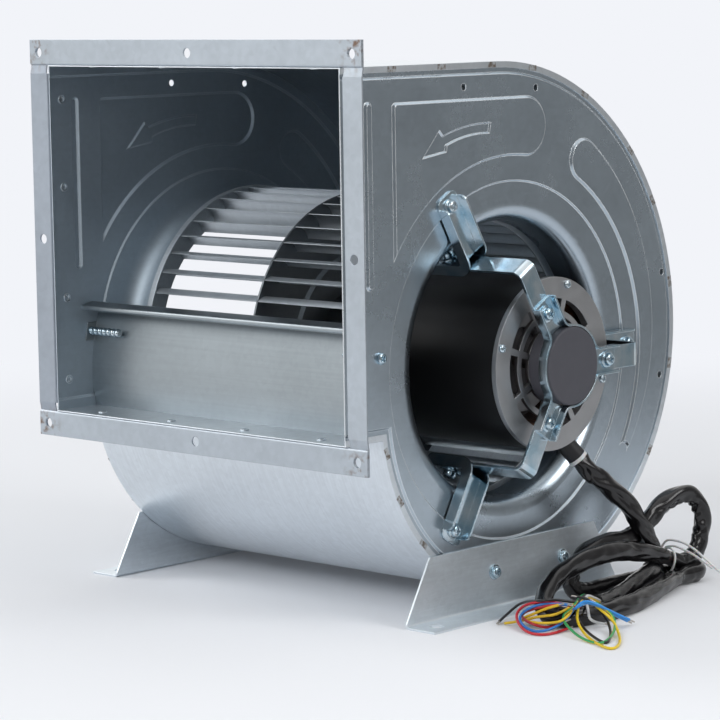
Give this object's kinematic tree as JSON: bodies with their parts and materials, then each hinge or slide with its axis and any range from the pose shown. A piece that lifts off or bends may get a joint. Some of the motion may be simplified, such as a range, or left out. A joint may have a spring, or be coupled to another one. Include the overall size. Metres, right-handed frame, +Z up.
{
  "type": "centrifugal blower",
  "caption": "Double-inlet centrifugal blower: scroll housing with a flanged rectangular outlet, forward-curved drum wheel and a motor hung in one inlet on bent arms.",
  "frame": {"origin": "centre of the feet's bolt pattern at the underside of the feet, below the shaft axis and midway between the side plates", "axes": "+X along the fan's shaft towards the motor side, +Y away from the outlet, which faces -Y, +Z up"},
  "size_m": [0.636, 0.4865, 0.5455],
  "materials": {
    "galvanised_sheet": "galvanised, satin",
    "galvanised_flange": "galvanised, satin",
    "zinc_plated_steel": "bright zinc plating with a blue tint",
    "black_painted_steel": "satin black paint",
    "cast_aluminium": "as cast",
    "black_rubber": "matt",
    "varnished_copper": "enamelled and varnished winding",
    "electrical_steel": "stacked sheet, lacquered",
    "bare_steel": "turned",
    "black_vinyl_sleeve": "glossy soft vinyl",
    "white_nylon": "translucent nylon",
    "conductor_insulation": "coloured vinyl insulation"
  },
  "bodies": {
    "housing": {"side_plate_motor_side": "galvanised_sheet", "side_plate_far_side": "galvanised_sheet", "scroll_wrap": "galvanised_sheet", "cutoff_plate": "galvanised_sheet", "outlet_flange_top": "galvanised_flange", "outlet_flange_bottom": "galvanised_flange", "outlet_flange_motor_side": "galvanised_flange", "outlet_flange_far_side": "galvanised_flange", "foot_motor_side": "galvanised_sheet", "foot_far_side": "galvanised_sheet", "foot_screws": "zinc_plated_steel", "cutoff_screws": "zinc_plated_steel", "arm_bracket_upper": "zinc_plated_steel", "arm_bracket_lower": "zinc_plated_steel", "arm_bracket_rear": "zinc_plated_steel", "bracket_screws": "zinc_plated_steel", "grommets": "black_rubber", "grommet_bolts": "zinc_plated_steel", "grommet_nuts": "zinc_plated_steel", "motor_arm_upper": "zinc_plated_steel", "motor_arm_lower": "zinc_plated_steel", "motor_arm_rear": "zinc_plated_steel", "motor_clamp_ring": "zinc_plated_steel", "clamp_bolts": "zinc_plated_steel", "clamp_nuts": "zinc_plated_steel", "motor_shell": "black_painted_steel", "motor_end_shield_outer": "cast_aluminium", "motor_end_shield_inner": "cast_aluminium", "end_shield_screws": "zinc_plated_steel", "hub_cap": "black_rubber", "stator_core": "electrical_steel", "stator_windings": "varnished_copper", "bearing_outer_rings": "bare_steel", "lead_boot": "black_rubber", "lead_collar": "white_nylon", "lead_sleeve": "black_vinyl_sleeve", "lead_hank_front": "black_vinyl_sleeve", "lead_hank_back": "black_vinyl_sleeve", "lead_tie": "white_nylon", "lead_conductors": "conductor_insulation"},
    "rotor": {"wheel_blades": "galvanised_sheet", "wheel_centre_disc": "galvanised_sheet", "wheel_hub": "bare_steel", "hub_set_screw": "zinc_plated_steel", "wheel_end_ring_motor_side": "galvanised_sheet", "wheel_end_ring_far_side": "galvanised_sheet", "motor_shaft": "bare_steel", "rotor_core": "electrical_steel", "rotor_end_rings": "cast_aluminium", "bearing_inner_rings": "bare_steel"}
  },
  "joints": [
    {"name": "wheel_spin", "type": "hinge", "parent": "housing", "child": "rotor", "pos_m": [0, 0, 0.236], "axis": [1, 0, 0], "continuous": true}
  ]
}
